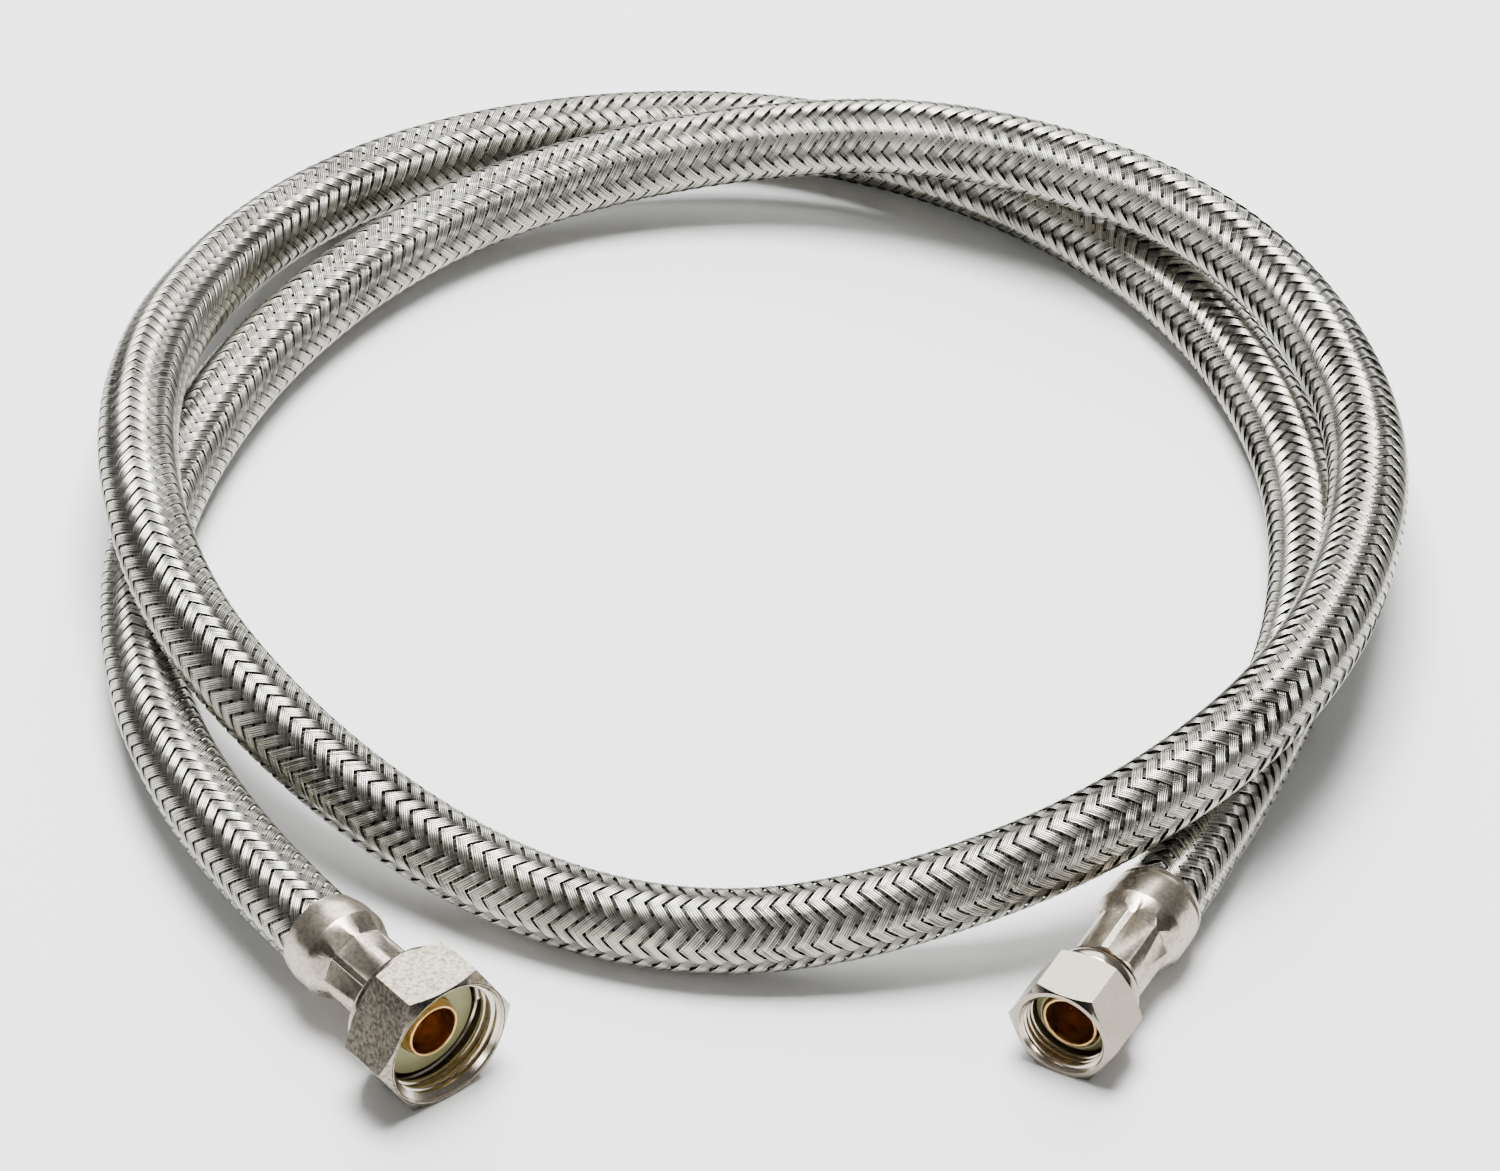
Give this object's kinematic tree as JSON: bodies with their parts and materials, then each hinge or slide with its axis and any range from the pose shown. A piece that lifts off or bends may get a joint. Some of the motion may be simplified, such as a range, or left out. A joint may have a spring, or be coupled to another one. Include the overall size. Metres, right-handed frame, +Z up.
{
  "type": "braided supply line",
  "caption": "Flexible braided steel water supply line in a loose coil, with swivel nuts for a pipe thread tap tail and a compression valve.",
  "frame": {"origin": "on the surface it lies on, under the centre of the bounding box", "axes": "+Z up, +Y from the two fittings towards the back of the coil, the coil's longer direction"},
  "size_m": [0.2192, 0.2592, 0.0318],
  "materials": {
    "steel_braid": "drawn stainless wire, braided",
    "liner": "smooth extruded",
    "nickel_plate": "satin nickel plate",
    "brass": "turned",
    "large_seal": "moulded, satin",
    "small_seal": "moulded, satin"
  },
  "bodies": {
    "hose_line": {"inner_tube": "liner", "braid_sleeve": "steel_braid", "large_ferrule": "nickel_plate", "large_stem": "brass", "large_washer": "large_seal", "small_ferrule": "nickel_plate", "small_stem": "brass", "small_washer": "small_seal"},
    "large_swivel": {"large_nut": "nickel_plate"},
    "small_swivel": {"small_nut": "nickel_plate"}
  },
  "joints": [
    {"name": "large_nut_spin", "type": "hinge", "parent": "hose_line", "child": "large_swivel", "pos_m": [-0.05414, -0.11271, 0.0111], "axis": [0.6334, -0.7738, 0], "continuous": true},
    {"name": "small_nut_spin", "type": "hinge", "parent": "hose_line", "child": "small_swivel", "pos_m": [0.05469, -0.10473, 0.0082], "axis": [-0.4741, -0.8805, 0], "continuous": true}
  ]
}
